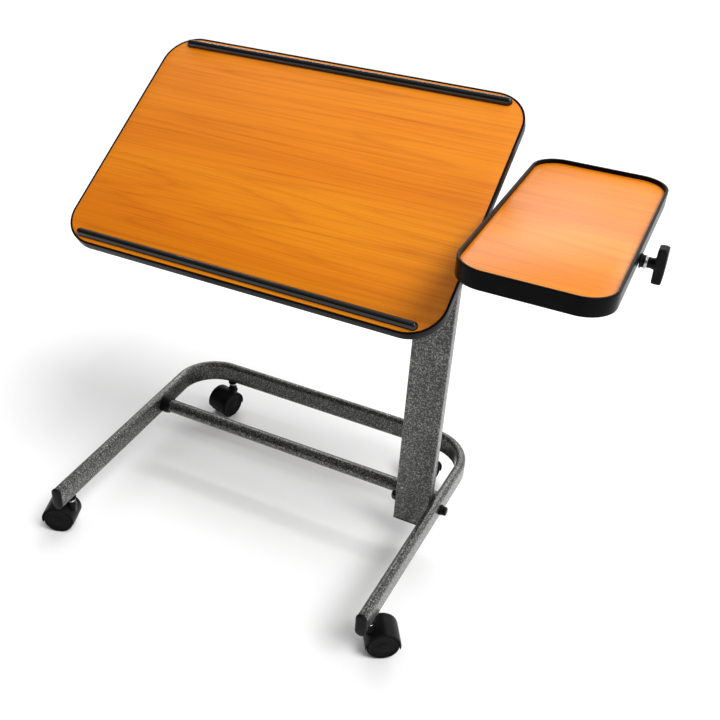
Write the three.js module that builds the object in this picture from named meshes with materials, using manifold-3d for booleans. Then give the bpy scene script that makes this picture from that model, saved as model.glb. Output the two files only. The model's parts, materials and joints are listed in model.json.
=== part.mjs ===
// Overbed table: a U-shaped tube base on four twin-wheel casters, a telescopic mast on the right leg,
// a tilting main top and a fixed side tray. Millimetres, +Z up, the user sits on the -Y side.
import * as THREE from 'three';
import { mergeVertices } from 'three/addons/utils/BufferGeometryUtils.js';
import Module from 'manifold-3d';

const wasm = await Module();
wasm.setup();

// ---- Driving dimensions ---------------------------------------------------------------------------
const GAP = 0.3;                    // clearance between touching pieces
const RUNNING = 0.35;               // clearance around parts that turn or slide

const LEG_X = 283.5;                // half the distance between the leg centre lines at the rear bar
const LEG_TOE = 0.0286;             // inward slope of each leg towards the front, mm per mm
const LEG_FRONT = 445;              // distance from the rear bar to the open leg ends
const BEND_RADIUS = 70;             // centre-line radius of the two rear corners
const TUBE_WIDTH = 16;              // flat-oval base tube, standing tall
const TUBE_HEIGHT = 40;
const TUBE_BOTTOM = 64;             // underside of the base tube above the floor
const WALL = 1.5;                   // steel tube wall
const TUBE_MID = TUBE_BOTTOM + TUBE_HEIGHT / 2;

const MAST_WIDTH = 60;              // outer mast, rectangular tube
const MAST_DEPTH = 20;
const MAST_X = 240.3;
const MAST_Y = -170.4;
const MAST_BOTTOM = 44;
const MAST_TOP = 498;
const INNER_WIDTH = 54;             // inner mast
const INNER_DEPTH = 14;
const INNER_BOTTOM = 160;

const CROSSBAR_RADIUS = 12;
const CROSSBAR_Y = MAST_Y + MAST_DEPTH / 2 + GAP + CROSSBAR_RADIUS;

const PIVOT_Z = 555.7;              // height of the tilt axis at the lowest setting
const PIVOT_TUBE_RADIUS = 8;
const REST_TILT = 33.7 * Math.PI / 180;

const TOP_WIDTH = 596;              // main top
const TOP_DEPTH = 400;
const TOP_CENTRE_X = -6.6;
const TOP_OFFSET = 35;              // the board's centre lies this far behind the tilt axis
const TOP_UNDERSIDE = 25;           // underside of the board above the tilt axis
const BOARD_THICKNESS = 15;
const TOP_CORNER = 52;
const BAND = 3;                     // edge band
const RAIL_LENGTH = 540;
const RAIL_WIDTH = 13;
const RAIL_HEIGHT = 8;
const RAIL_INSET = 15;              // rail centre line from the long edge

const TRAY_WIDTH = 194;             // side tray
const TRAY_DEPTH = 404;
const TRAY_X = 397.4;
const TRAY_Y = -149;
const TRAY_TOP = 623.4;
const TRAY_RIM_HEIGHT = 25;
const TRAY_RIM_WALL = 4;
const TRAY_LIP = 6;                 // rim above the board
const TRAY_CORNER = 42;
const TRAY_BOARD_THICKNESS = 12;
const TRAY_BOARD_BOTTOM = TRAY_TOP - TRAY_LIP - TRAY_BOARD_THICKNESS;

const CLAMP_Y = -176.7;             // tilt clamp screw, parallel to X under the tray
const CLAMP_Z = 600.4;
const CLAMP_RADIUS = 4;
const BRAKE_RADIUS = 47;
const BRAKE_X = 308;
const BRAKE_THICKNESS = 3;

const WHEEL_RADIUS = 25;            // casters
const WHEEL_WIDTH = 15.4;
const WEB_WIDTH = 10;
const HOOD_RADIUS = 28.5;
const HOOD_WIDTH = 46;
const TRAIL = 20;
const STEM_RADIUS = 4;
const STEM_TOP = 94;
const FRONT_CASTER_Y = -416;
const REAR_CASTER_X = 212;

// ---- Materials ------------------------------------------------------------------------------------
const finish = (color, roughness, metalness) =>
  new THREE.MeshStandardMaterial({ color, roughness, metalness });
const hammered = () => finish(0x4c4d4a, 0.42, 0.55);
const blackPlastic = () => finish(0x161616, 0.45, 0);
const glossBlack = () => finish(0x0c0c0c, 0.22, 0);
const laminate = () => finish(0xd98a33, 0.38, 0);
const zinc = () => finish(0xb4b6b8, 0.32, 0.9);

// ---- Solids ---------------------------------------------------------------------------------------
function solid(geometry) {
  const bare = geometry.clone();
  bare.deleteAttribute('normal');
  bare.deleteAttribute('uv');
  const merged = mergeVertices(bare, 1e-4);
  return new wasm.Manifold(new wasm.Mesh({
    numProp: 3,
    vertProperties: Float32Array.from(merged.attributes.position.array),
    triVerts: Uint32Array.from(merged.index.array),
  }));
}

function geometryOf(manifold) {
  const mesh = manifold.getMesh();
  const geometry = new THREE.BufferGeometry();
  geometry.setAttribute('position', new THREE.BufferAttribute(mesh.vertProperties, 3));
  geometry.setIndex(new THREE.BufferAttribute(mesh.triVerts, 1));
  geometry.computeVertexNormals();
  return geometry;
}

/** Joins the first list of geometries and cuts the second list out of them. */
function carve(joined, cuts = []) {
  let result = solid(joined[0]);
  for (const geometry of joined.slice(1)) result = result.add(solid(geometry));
  for (const geometry of cuts) result = result.subtract(solid(geometry));
  return geometryOf(result);
}

const prism = (shape, depth, curveSegments = 8) =>
  new THREE.ExtrudeGeometry(shape, { depth, bevelEnabled: false, curveSegments });

/** Turns a solid made along +Z so that it runs along +X (shape y stays along Y, shape x points down). */
const alongX = (geometry) => geometry.rotateY(Math.PI / 2);

/** Turns a solid made along +Z so that it runs along +Y (shape x stays along X, shape y points down). */
const alongY = (geometry) => geometry.rotateX(-Math.PI / 2);

function rodX(radius, from, to, y, z, segments = 24) {
  const rod = new THREE.CylinderGeometry(radius, radius, to - from, segments);
  return rod.rotateZ(Math.PI / 2).translate((from + to) / 2, y, z);
}

function rodY(radius, from, to, x, z, segments = 24) {
  return new THREE.CylinderGeometry(radius, radius, to - from, segments).translate(x, (from + to) / 2, z);
}

function rodZ(radius, from, to, x, y, segments = 24) {
  const rod = new THREE.CylinderGeometry(radius, radius, to - from, segments);
  return rod.rotateX(Math.PI / 2).translate(x, y, (from + to) / 2);
}

function block(width, depth, height, x, y, z) {
  return new THREE.BoxGeometry(width, depth, height).translate(x, y, z + height / 2);
}

function roundedRectangle(width, height, radius, path = new THREE.Shape()) {
  const x = width / 2 - radius;
  const y = height / 2 - radius;
  path.absarc(x, -y, radius, -Math.PI / 2, 0);
  path.absarc(x, y, radius, 0, Math.PI / 2);
  path.absarc(-x, y, radius, Math.PI / 2, Math.PI);
  path.absarc(-x, -y, radius, Math.PI, 1.5 * Math.PI);
  path.closePath();
  return path;
}

function roundedRing(width, height, radius, wall) {
  const ring = roundedRectangle(width, height, radius);
  const inner = Math.max(radius - wall, 0.5);
  ring.holes.push(roundedRectangle(width - 2 * wall, height - 2 * wall, inner, new THREE.Path()));
  return ring;
}

/** A ring or stepped bush turned about the Z axis from a closed profile of [radius, height] corners. */
function turnedZ(profile, segments = 12) {
  const points = [...profile, profile[0]].map(([radius, height]) => new THREE.Vector2(radius, height));
  return new THREE.LatheGeometry(points, segments).rotateX(Math.PI / 2);
}

const mesh = (name, geometry, material) => {
  const piece = new THREE.Mesh(geometry, material);
  piece.name = name;
  return piece;
};

const table = new THREE.Group();

// ---- Base frame -----------------------------------------------------------------------------------
/** Centre line of the bent base tube, sampled at its straight ends and along its two bends. */
class BentPath extends THREE.Curve {
  constructor(stations) {
    super();
    this.stations = stations;
  }

  station(u) {
    return this.stations[Math.round(u * (this.stations.length - 1))];
  }

  getPointAt(u) {
    return this.station(u).point.clone();
  }

  getTangentAt(u) {
    return this.station(u).tangent.clone();
  }
}

const legX = (y) => LEG_X + y * LEG_TOE;
const legAngle = Math.atan(LEG_TOE);

function baseStations() {
  const facets = 8;
  const turn = Math.PI / 2 + legAngle;
  const half = [];
  const centre = new THREE.Vector3(-LEG_X + BEND_RADIUS + LEG_TOE * BEND_RADIUS, -BEND_RADIUS, TUBE_MID);
  const front = new THREE.Vector3(-legX(-LEG_FRONT), -LEG_FRONT, TUBE_MID);
  for (let i = 0; i <= facets; i++) {
    const angle = Math.PI / 2 + turn * (1 - i / facets);
    const out = new THREE.Vector3(Math.cos(angle), Math.sin(angle), 0);
    const tangent = new THREE.Vector3(out.y, -out.x, 0);
    half.push({ point: out.clone().multiplyScalar(BEND_RADIUS).add(centre), tangent });
  }
  half.unshift({ point: front, tangent: half[0].tangent.clone() });
  const mirrored = half.map(({ point, tangent }) => ({
    point: point.clone().multiply(new THREE.Vector3(-1, 1, 1)),
    tangent: tangent.clone().multiply(new THREE.Vector3(1, -1, 1)),
  }));
  return [...half, ...mirrored.reverse()];
}

function baseFrame() {
  const section = roundedRing(TUBE_HEIGHT, TUBE_WIDTH, TUBE_WIDTH / 2 - 0.5, WALL);
  const stations = baseStations();
  const tube = new THREE.ExtrudeGeometry(section, {
    extrudePath: new BentPath(stations),
    steps: stations.length - 1,
    curveSegments: 2,
  });
  const legHole = rodX(4.4, 250, 310, MAST_Y, TUBE_MID, 12);
  return carve([tube], [legHole, ...casterPlaces().map(({ x, y }) => rodZ(6.7, 55, 74, x, y, 12))]);
}

function casterPlaces() {
  const frontX = legX(FRONT_CASTER_Y);
  return [
    { name: 'front_left', x: -frontX, y: FRONT_CASTER_Y, heading: -160 },
    { name: 'front_right', x: frontX, y: FRONT_CASTER_Y, heading: 31.5 },
    { name: 'rear_left', x: -REAR_CASTER_X, y: 0, heading: -104.5 },
    { name: 'rear_right', x: REAR_CASTER_X, y: 0, heading: -115 },
  ];
}

table.add(mesh('base_frame', baseFrame(), hammered()));

function legCap() {
  const bevel = 1.4;
  const outline = roundedRectangle(TUBE_HEIGHT - 1, TUBE_WIDTH - 1, TUBE_WIDTH / 2 - 0.6);
  const head = new THREE.ExtrudeGeometry(outline, {
    depth: 2.6, bevelThickness: bevel, bevelSize: 1.2, bevelSegments: 1, curveSegments: 2,
  }).translate(0, 0, bevel + GAP);
  const clear = 2 * WALL + 2 * GAP;
  const plug = prism(
    roundedRectangle(TUBE_HEIGHT - clear, TUBE_WIDTH - clear, TUBE_WIDTH / 2 - 2.5), 14, 2);
  return carve([head, plug.translate(0, 0, -12)]);
}

for (const [name, side] of [['leg_cap_left', -1], ['leg_cap_right', 1]]) {
  const cap = mesh(name, legCap().rotateY(Math.PI / 2).rotateZ(-Math.PI / 2), blackPlastic());
  cap.position.set(side * legX(-LEG_FRONT), -LEG_FRONT, TUBE_MID);
  cap.rotation.z = -side * legAngle;
  table.add(cap);
}

// Crossbar from the left leg, behind the mast, to the right leg.
const legInnerX = legX(CROSSBAR_Y) - TUBE_WIDTH / 2 - 2 * GAP;
const SADDLE_LENGTH = 16;
const barLeft = -legInnerX + 4;
table.add(mesh('crossbar', carve(
  [rodX(CROSSBAR_RADIUS, barLeft, legInnerX, CROSSBAR_Y, TUBE_MID)],
  [rodX(CROSSBAR_RADIUS - WALL, barLeft - 1, legInnerX + 1, CROSSBAR_Y, TUBE_MID)],
), hammered()));
table.add(mesh('crossbar_saddle', carve(
  [rodX(15.5, -legInnerX, -legInnerX + SADDLE_LENGTH, CROSSBAR_Y, TUBE_MID)],
  [rodX(CROSSBAR_RADIUS + GAP, barLeft - GAP, 0, CROSSBAR_Y, TUBE_MID)],
), blackPlastic()));

// ---- Outer mast and its fastenings ----------------------------------------------------------------
const SCREW_Z = 466;
const MAST_REAR = MAST_Y + MAST_DEPTH / 2;
const mastTube = prism(roundedRing(MAST_WIDTH, MAST_DEPTH, 2.5, WALL), MAST_TOP - MAST_BOTTOM, 1);
table.add(mesh('mast_outer', carve(
  [mastTube.translate(MAST_X, MAST_Y, MAST_BOTTOM)],
  [
    rodX(4.4, MAST_X - MAST_WIDTH, MAST_X + MAST_WIDTH, MAST_Y, TUBE_MID, 16),
    rodY(3.6, MAST_REAR - 4, MAST_REAR + 4, MAST_X, SCREW_Z, 16),
  ],
), hammered()));

const cavityWidth = MAST_WIDTH - 2 * WALL - 2 * GAP;
const cavityDepth = MAST_DEPTH - 2 * WALL - 2 * GAP;
table.add(mesh('mast_foot_plug', carve([
  prism(roundedRectangle(MAST_WIDTH, MAST_DEPTH, 2.5), 2.5, 1).translate(MAST_X, MAST_Y, MAST_BOTTOM - 2.8),
  prism(roundedRectangle(cavityWidth, cavityDepth, 1.5), 14, 1).translate(MAST_X, MAST_Y, MAST_BOTTOM - 1),
]), blackPlastic()));

const openingWidth = INNER_WIDTH + 2 * RUNNING;
const openingDepth = INNER_DEPTH + 2 * RUNNING;
table.add(mesh('mast_guide_collar', carve(
  [
    prism(roundedRectangle(MAST_WIDTH + 3, MAST_DEPTH + 3, 4), 4, 1)
      .translate(MAST_X, MAST_Y, MAST_TOP + GAP),
    prism(roundedRectangle(cavityWidth, cavityDepth, 1.5), 22, 1)
      .translate(MAST_X, MAST_Y, MAST_TOP - 20),
  ],
  [block(openingWidth, openingDepth, 40, MAST_X, MAST_Y, MAST_TOP - 25)],
), blackPlastic()));

const mastLeft = MAST_X - MAST_WIDTH / 2;
const legOuterX = legX(MAST_Y) + TUBE_WIDTH / 2;
table.add(mesh('mast_bolt', rodX(4, mastLeft - 5, legOuterX + 7, MAST_Y, TUBE_MID), zinc()));

function dome(radius, height) {
  const points = [new THREE.Vector2(0, 0), new THREE.Vector2(radius, 0)];
  for (let i = 1; i <= 4; i++) {
    const angle = (i / 4) * (Math.PI / 2);
    points.push(new THREE.Vector2(radius * Math.cos(angle), height * (0.35 + 0.65 * Math.sin(angle))));
  }
  points[points.length - 1].x = 0;
  return new THREE.LatheGeometry(points, 14).rotateZ(-Math.PI / 2);
}

table.add(mesh('mast_bolt_cap', carve(
  [dome(9.8, 9).rotateZ(Math.PI).translate(mastLeft - GAP, MAST_Y, TUBE_MID)],
  [rodX(4.4, mastLeft - 5.4, mastLeft + 2, MAST_Y, TUBE_MID)],
), glossBlack()));
table.add(mesh('mast_bolt_nut', carve(
  [dome(8.5, 11).translate(legOuterX + GAP, MAST_Y, TUBE_MID)],
  [rodX(4.4, legOuterX - 2, legOuterX + 7.4, MAST_Y, TUBE_MID)],
), blackPlastic()));

// Height clamp: a nut welded on the rear of the mast and a hand screw that bears on the inner mast.
const NUT_DEPTH = 7;
table.add(mesh('height_clamp_nut', carve(
  [rodY(8, MAST_REAR + GAP, MAST_REAR + NUT_DEPTH, MAST_X, SCREW_Z, 6)],
  [rodY(3.6, MAST_REAR - 1, MAST_REAR + NUT_DEPTH + 1, MAST_X, SCREW_Z, 16)],
), hammered()));
const KNOB_FACE = MAST_REAR + NUT_DEPTH + 1;
table.add(mesh('height_knob_screw',
  rodY(3, MAST_Y + INNER_DEPTH / 2 + GAP, KNOB_FACE + 10, MAST_X, SCREW_Z, 16),
  zinc()));

function lobedKnob(radius, lobes, depth) {
  const outline = new THREE.Shape();
  const steps = lobes * 4;
  for (let i = 0; i < steps; i++) {
    const angle = (i / steps) * 2 * Math.PI;
    const r = radius * (0.93 + 0.07 * Math.cos(lobes * angle));
    if (i === 0) outline.moveTo(r, 0);
    else outline.lineTo(r * Math.cos(angle), r * Math.sin(angle));
  }
  outline.closePath();
  return prism(outline, depth);
}

table.add(mesh('height_knob', carve(
  [
    alongY(lobedKnob(16, 6, 14)).translate(MAST_X, KNOB_FACE + 3, SCREW_Z),
    rodY(8, KNOB_FACE, KNOB_FACE + 5, MAST_X, SCREW_Z),
  ],
  [rodY(3 + GAP, KNOB_FACE - 1, KNOB_FACE + 10 + GAP, MAST_X, SCREW_Z, 12)],
), blackPlastic()));

// ---- Lift: inner mast, head, pivot tube and side tray ----------------------------------------------
const HEAD_BOTTOM = PIVOT_Z - 42;
const INNER_TOP = HEAD_BOTTOM + 12;
table.add(mesh('mast_inner',
  prism(roundedRing(INNER_WIDTH, INNER_DEPTH, 2, WALL), INNER_TOP - INNER_BOTTOM, 1)
    .translate(MAST_X, MAST_Y, INNER_BOTTOM),
  hammered()));

const innerClear = 2 * WALL + 2 * GAP;
const spigotOutline = roundedRectangle(INNER_WIDTH - innerClear, INNER_DEPTH - innerClear, 1);
table.add(mesh('mast_inner_glide', carve([
  prism(roundedRectangle(cavityWidth - 0.2, cavityDepth - 0.2, 1.5), 10, 1)
    .translate(MAST_X, MAST_Y, INNER_BOTTOM - 10 - GAP),
  prism(spigotOutline, 20, 1).translate(MAST_X, MAST_Y, INNER_BOTTOM - 2),
]), blackPlastic()));

/** Head block outline across the pivot: round over the tilt axis, straight sides down. */
function headOutline(radius, drop) {
  const shape = new THREE.Shape();
  shape.absarc(0, 0, radius, Math.PI / 2, 1.5 * Math.PI);
  shape.lineTo(drop, -radius);
  shape.lineTo(drop, radius);
  shape.closePath();
  return shape;
}

/** Plate outline across the pivot: round under the tilt axis, widening up to a straight top edge. */
function cheekOutline(radius, rise, halfWidth) {
  const shape = new THREE.Shape();
  shape.absarc(0, 0, radius, -Math.PI / 2, Math.PI / 2);
  shape.lineTo(-rise, halfWidth);
  shape.lineTo(-rise, -halfWidth);
  shape.closePath();
  return shape;
}

const HEAD_RADIUS = 15;
const CHEEK_RADIUS = 14;
table.add(mesh('head_bracket', carve(
  [
    alongX(prism(headOutline(HEAD_RADIUS, PIVOT_Z - HEAD_BOTTOM), INNER_WIDTH, 6))
      .translate(MAST_X - INNER_WIDTH / 2, MAST_Y, PIVOT_Z),
  ],
  [
    rodX(PIVOT_TUBE_RADIUS + GAP, 0, 400, MAST_Y, PIVOT_Z),
    block(openingWidth, openingDepth, INNER_TOP - HEAD_BOTTOM + 1 + GAP, MAST_X, MAST_Y, HEAD_BOTTOM - 1),
  ],
), hammered()));

const PIVOT_LEFT = MAST_X - INNER_WIDTH / 2 - 12;
const PIVOT_RIGHT = 452;
table.add(mesh('pivot_tube', carve(
  [rodX(PIVOT_TUBE_RADIUS, PIVOT_LEFT, PIVOT_RIGHT, MAST_Y, PIVOT_Z)],
  [rodX(PIVOT_TUBE_RADIUS - WALL, PIVOT_LEFT - 1, PIVOT_RIGHT + 1, MAST_Y, PIVOT_Z)],
), zinc()));

// Tray bracket: a plate under the tray board with two cheeks down to the pivot tube. The left cheek
// carries the threaded boss of the clamp screw, the right one only lets the screw through.
const PLATE_THICKNESS = 2.5;
const CHEEK_THICKNESS = 4;
const CHEEK_LEFT = 315;
const CHEEK_RIGHT = 438;
const PLATE_DEPTH = 120;
function trayBracket() {
  const top = TRAY_BOARD_BOTTOM - GAP;
  const outline = cheekOutline(CHEEK_RADIUS, top - PIVOT_Z, 28);
  const side = (x) => alongX(prism(outline, CHEEK_THICKNESS, 6)).translate(x, MAST_Y, PIVOT_Z);
  const right = CHEEK_RIGHT + CHEEK_THICKNESS;
  const centre = (CHEEK_LEFT + right) / 2;
  const plate = block(right - CHEEK_LEFT, PLATE_DEPTH, PLATE_THICKNESS, centre, MAST_Y,
    top - PLATE_THICKNESS);
  // The screw runs just under the board, in a slot through the plate and the tops of both cheeks.
  const slotWidth = 2 * (CLAMP_RADIUS + RUNNING);
  const slot = block(right - CHEEK_LEFT + 2, slotWidth, top - CLAMP_Z + 1, centre, CLAMP_Y, CLAMP_Z);
  return carve(
    [side(CHEEK_LEFT), side(CHEEK_RIGHT), plate],
    [
      rodX(PIVOT_TUBE_RADIUS + GAP, 300, 500, MAST_Y, PIVOT_Z),
      rodX(CLAMP_RADIUS + RUNNING, 300, 500, CLAMP_Y, CLAMP_Z),
      slot,
    ],
  );
}
table.add(mesh('tray_bracket', trayBracket(), hammered()));

function trayRim() {
  const section = roundedRing(TRAY_WIDTH, TRAY_DEPTH, TRAY_CORNER, TRAY_RIM_WALL);
  const ring = prism(section, TRAY_RIM_HEIGHT, 5).translate(TRAY_X, TRAY_Y, TRAY_TOP - TRAY_RIM_HEIGHT);
  const screwHole = rodX(CLAMP_RADIUS + RUNNING, 480, 500, CLAMP_Y, CLAMP_Z, 16);
  return carve([ring], [screwHole]);
}
table.add(mesh('tray_rim', trayRim(), blackPlastic()));
const boardInset = TRAY_RIM_WALL + GAP;
const trayOutline = roundedRectangle(
  TRAY_WIDTH - 2 * boardInset, TRAY_DEPTH - 2 * boardInset, TRAY_CORNER - boardInset);
table.add(mesh('tray_board',
  prism(trayOutline, TRAY_BOARD_THICKNESS, 5).translate(TRAY_X, TRAY_Y, TRAY_BOARD_BOTTOM),
  laminate()));

const RIM_RIGHT = TRAY_X + TRAY_WIDTH / 2;
table.add(mesh('clamp_bushing', carve(
  [rodX(9, RIM_RIGHT + GAP, RIM_RIGHT + 6, CLAMP_Y, CLAMP_Z)],
  [rodX(CLAMP_RADIUS + RUNNING, RIM_RIGHT - 2, RIM_RIGHT + 8, CLAMP_Y, CLAMP_Z)],
), blackPlastic()));

// ---- Tilt clamp: T-handle, washer and long screw ---------------------------------------------------
const HANDLE_X = RIM_RIGHT + 12;
const SCREW_TIP = BRAKE_X + BRAKE_THICKNESS + GAP;
table.add(mesh('clamp_screw', rodX(CLAMP_RADIUS, SCREW_TIP, HANDLE_X + 12, CLAMP_Y, CLAMP_Z, 20), zinc()));
table.add(mesh('clamp_washer', carve(
  [rodX(9.5, RIM_RIGHT + 6 + RUNNING, RIM_RIGHT + 8, CLAMP_Y, CLAMP_Z)],
  [rodX(CLAMP_RADIUS + GAP, RIM_RIGHT, RIM_RIGHT + 12, CLAMP_Y, CLAMP_Z)],
), zinc()));
function tHandle() {
  const hub = rodX(7, RIM_RIGHT + 8 + GAP, HANDLE_X + 8, CLAMP_Y, CLAMP_Z, 20);
  const wing = new THREE.ExtrudeGeometry(roundedRectangle(52, 13, 6), {
    depth: 8, bevelThickness: 2, bevelSize: 2, bevelSegments: 1, curveSegments: 2,
  });
  wing.rotateY(Math.PI / 2).rotateX(0.14);
  return carve(
    [hub, wing.translate(HANDLE_X + 7, CLAMP_Y, CLAMP_Z)],
    [rodX(CLAMP_RADIUS + GAP, RIM_RIGHT, HANDLE_X + 12 + GAP, CLAMP_Y, CLAMP_Z, 20)],
  );
}
table.add(mesh('clamp_handle', tHandle(), blackPlastic()));

// ---- Main top, built level about the tilt axis and then tilted -------------------------------------
const top = new THREE.Group();
top.position.set(0, MAST_Y, PIVOT_Z);
top.rotation.x = REST_TILT;
table.add(top);

const bandInset = BAND + GAP;
const topOutline = roundedRectangle(
  TOP_WIDTH - 2 * bandInset, TOP_DEPTH - 2 * bandInset, TOP_CORNER - bandInset);
top.add(mesh('top_board',
  prism(topOutline, BOARD_THICKNESS, 5).translate(TOP_CENTRE_X, TOP_OFFSET, TOP_UNDERSIDE),
  laminate()));
top.add(mesh('top_edge_band',
  prism(roundedRing(TOP_WIDTH, TOP_DEPTH, TOP_CORNER, BAND), BOARD_THICKNESS + 0.6, 5)
    .translate(TOP_CENTRE_X, TOP_OFFSET, TOP_UNDERSIDE - 0.3),
  blackPlastic()));

/** Half-round book rail with rounded ends, lying along X on its flat side. */
function rail() {
  const bar = new THREE.CapsuleGeometry(RAIL_WIDTH / 2, RAIL_LENGTH - RAIL_WIDTH, 3, 12).rotateZ(Math.PI / 2);
  bar.scale(1, 1, 2 * RAIL_HEIGHT / RAIL_WIDTH);
  const below = block(RAIL_LENGTH + 2, RAIL_WIDTH + 2, RAIL_HEIGHT + 2, 0, 0, -RAIL_HEIGHT - 2);
  return carve([bar], [below]);
}
for (const [name, side] of [['top_rail_front', -1], ['top_rail_rear', 1]]) {
  const y = TOP_OFFSET + side * (TOP_DEPTH / 2 - RAIL_INSET);
  top.add(mesh(name, rail().translate(TOP_CENTRE_X, y, TOP_UNDERSIDE + BOARD_THICKNESS + GAP), glossBlack()));
}

// Top bracket: a channel under the board, two ears on the pivot tube, a sleeve and the brake disc.
const EAR_THICKNESS = 5;
const CHANNEL_LENGTH = 460;
const CHANNEL_WIDTH = 64;
const CHANNEL_HEIGHT = 9;
const CHANNEL_SHEET = 2.5;
const SLEEVE_RADIUS = 12;
function topBracket() {
  const left = MAST_X - INNER_WIDTH / 2 - RUNNING - EAR_THICKNESS;
  const right = MAST_X + INNER_WIDTH / 2 + RUNNING;
  const channelTop = TOP_UNDERSIDE - GAP;
  const centre = right + EAR_THICKNESS - CHANNEL_LENGTH / 2;
  const web = block(CHANNEL_LENGTH, CHANNEL_WIDTH, CHANNEL_SHEET, centre, 0, channelTop - CHANNEL_SHEET);
  const flanges = [-1, 1].map((side) => {
    const y = side * (CHANNEL_WIDTH - CHANNEL_SHEET) / 2;
    return block(CHANNEL_LENGTH, CHANNEL_SHEET, CHANNEL_HEIGHT, centre, y, channelTop - CHANNEL_HEIGHT);
  });
  const earOutline = cheekOutline(CHEEK_RADIUS, channelTop - 1, 26);
  const ear = (x) => alongX(prism(earOutline, EAR_THICKNESS, 6)).translate(x, 0, 0);
  const sleeve = rodX(SLEEVE_RADIUS, right + EAR_THICKNESS - 1, BRAKE_X + 1, 0, 0);
  const disc = rodX(BRAKE_RADIUS, BRAKE_X, BRAKE_X + BRAKE_THICKNESS, 0, 0, 32);
  const bore = rodX(PIVOT_TUBE_RADIUS + RUNNING, left - 5, BRAKE_X + 20, 0, 0);
  return carve([web, ...flanges, ear(left), ear(right), sleeve, disc], [bore]);
}
top.add(mesh('top_bracket', topBracket(), hammered()));

// ---- Casters --------------------------------------------------------------------------------------
/** Wedge of a flat ring about the origin, between two angles. */
function ringSector(inner, outer, from, to) {
  const shape = new THREE.Shape();
  shape.absarc(0, 0, outer, from, to, false);
  shape.absarc(0, 0, inner, to, from, true);
  shape.closePath();
  return shape;
}

const HOOD_WALL = 2.3;
const HOOD_DROP = 0.2;              // angle by which the hood reaches below the axle, radians
const NECK_RADIUS = 8.5;
const NECK_TOP = 56;
function casterHood() {
  const start = -HOOD_DROP;
  const end = Math.PI + HOOD_DROP;
  const across = (shape, width) =>
    prism(shape, width, 7).translate(0, 0, -width / 2).rotateX(Math.PI / 2).translate(TRAIL, 0, WHEEL_RADIUS);
  const shell = across(ringSector(HOOD_RADIUS - HOOD_WALL, HOOD_RADIUS, start, end), HOOD_WIDTH);
  const web = across(ringSector(3.6, HOOD_RADIUS - 1, start, end), WEB_WIDTH);
  const neck = rodZ(NECK_RADIUS, 48.5, NECK_TOP, 0, 0, 12);
  const root = block(15, WEB_WIDTH, 22, 0, 0, 29);
  return carve([shell, web, neck, root], [rodZ(STEM_RADIUS + RUNNING, 31, 60, 0, 0, 12)]);
}

function casterWheel(side) {
  const near = WEB_WIDTH / 2 + 0.5;
  const profile = [
    [3.4, near], [21, near], [WHEEL_RADIUS, near + 1.5],
    [WHEEL_RADIUS, near + WHEEL_WIDTH - 2], [22.5, near + WHEEL_WIDTH], [3.4, near + WHEEL_WIDTH],
  ].map(([radius, y]) => new THREE.Vector2(radius, y));
  const wheel = new THREE.LatheGeometry([...profile, profile[0]], 20);
  if (side < 0) wheel.rotateX(Math.PI);
  return wheel.translate(TRAIL, 0, WHEEL_RADIUS);
}

for (const { name, x, y, heading } of casterPlaces()) {
  table.add(mesh(`caster_${name}_socket`, turnedZ([
    [STEM_RADIUS + RUNNING, TUBE_BOTTOM - 3], [8.5, TUBE_BOTTOM - 3], [8.5, TUBE_BOTTOM - GAP],
    [6.2, TUBE_BOTTOM - GAP], [6.2, STEM_TOP + 2], [STEM_RADIUS + RUNNING, STEM_TOP + 2],
  ]).translate(x, y, 0), blackPlastic()));
  const caster = new THREE.Group();
  caster.position.set(x, y, 0);
  caster.rotation.z = heading * Math.PI / 180;
  const stem = carve([
    rodZ(STEM_RADIUS, 32, STEM_TOP, 0, 0, 12),
    rodZ(6.5, NECK_TOP + GAP, NECK_TOP + 3.5, 0, 0, 12),
  ]);
  caster.add(mesh(`caster_${name}_stem`, stem, zinc()));
  caster.add(mesh(`caster_${name}_hood`, casterHood(), blackPlastic()));
  caster.add(mesh(`caster_${name}_axle`, rodY(3, -19, 19, TRAIL, WHEEL_RADIUS, 12), zinc()));
  caster.add(mesh(`caster_${name}_wheel_a`, casterWheel(1), blackPlastic()));
  caster.add(mesh(`caster_${name}_wheel_b`, casterWheel(-1), blackPlastic()));
  table.add(caster);
}

// The origin is on the floor, at the centre of the whole table's footprint.
table.updateMatrixWorld(true);
const extent = new THREE.Box3().setFromObject(table, true);
table.position.set(-(extent.min.x + extent.max.x) / 2, -(extent.min.y + extent.max.y) / 2, -extent.min.z);

export default table;
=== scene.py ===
import json
import math

import bmesh
import bpy
from mathutils import Matrix, Vector


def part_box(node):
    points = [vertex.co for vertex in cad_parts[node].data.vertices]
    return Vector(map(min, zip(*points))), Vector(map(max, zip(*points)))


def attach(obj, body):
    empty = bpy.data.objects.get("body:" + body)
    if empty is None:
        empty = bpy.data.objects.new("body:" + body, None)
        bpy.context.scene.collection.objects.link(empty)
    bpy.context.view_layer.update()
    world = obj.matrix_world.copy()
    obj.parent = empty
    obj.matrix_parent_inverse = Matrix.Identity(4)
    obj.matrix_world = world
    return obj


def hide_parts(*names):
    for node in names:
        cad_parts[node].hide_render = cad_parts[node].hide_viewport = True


# Looks of the overbed table: every visible piece is built here in millimetres about a point of
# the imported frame, and takes a procedural material. The user sits on the -Y side.
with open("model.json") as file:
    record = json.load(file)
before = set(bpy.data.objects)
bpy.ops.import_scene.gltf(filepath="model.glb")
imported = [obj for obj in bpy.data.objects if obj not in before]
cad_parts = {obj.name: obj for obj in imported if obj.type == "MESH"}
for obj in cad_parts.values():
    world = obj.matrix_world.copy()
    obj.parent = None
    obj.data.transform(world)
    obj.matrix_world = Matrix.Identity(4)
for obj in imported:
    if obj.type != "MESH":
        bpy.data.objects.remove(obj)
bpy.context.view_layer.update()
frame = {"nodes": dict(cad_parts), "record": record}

MM = 0.001
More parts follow.
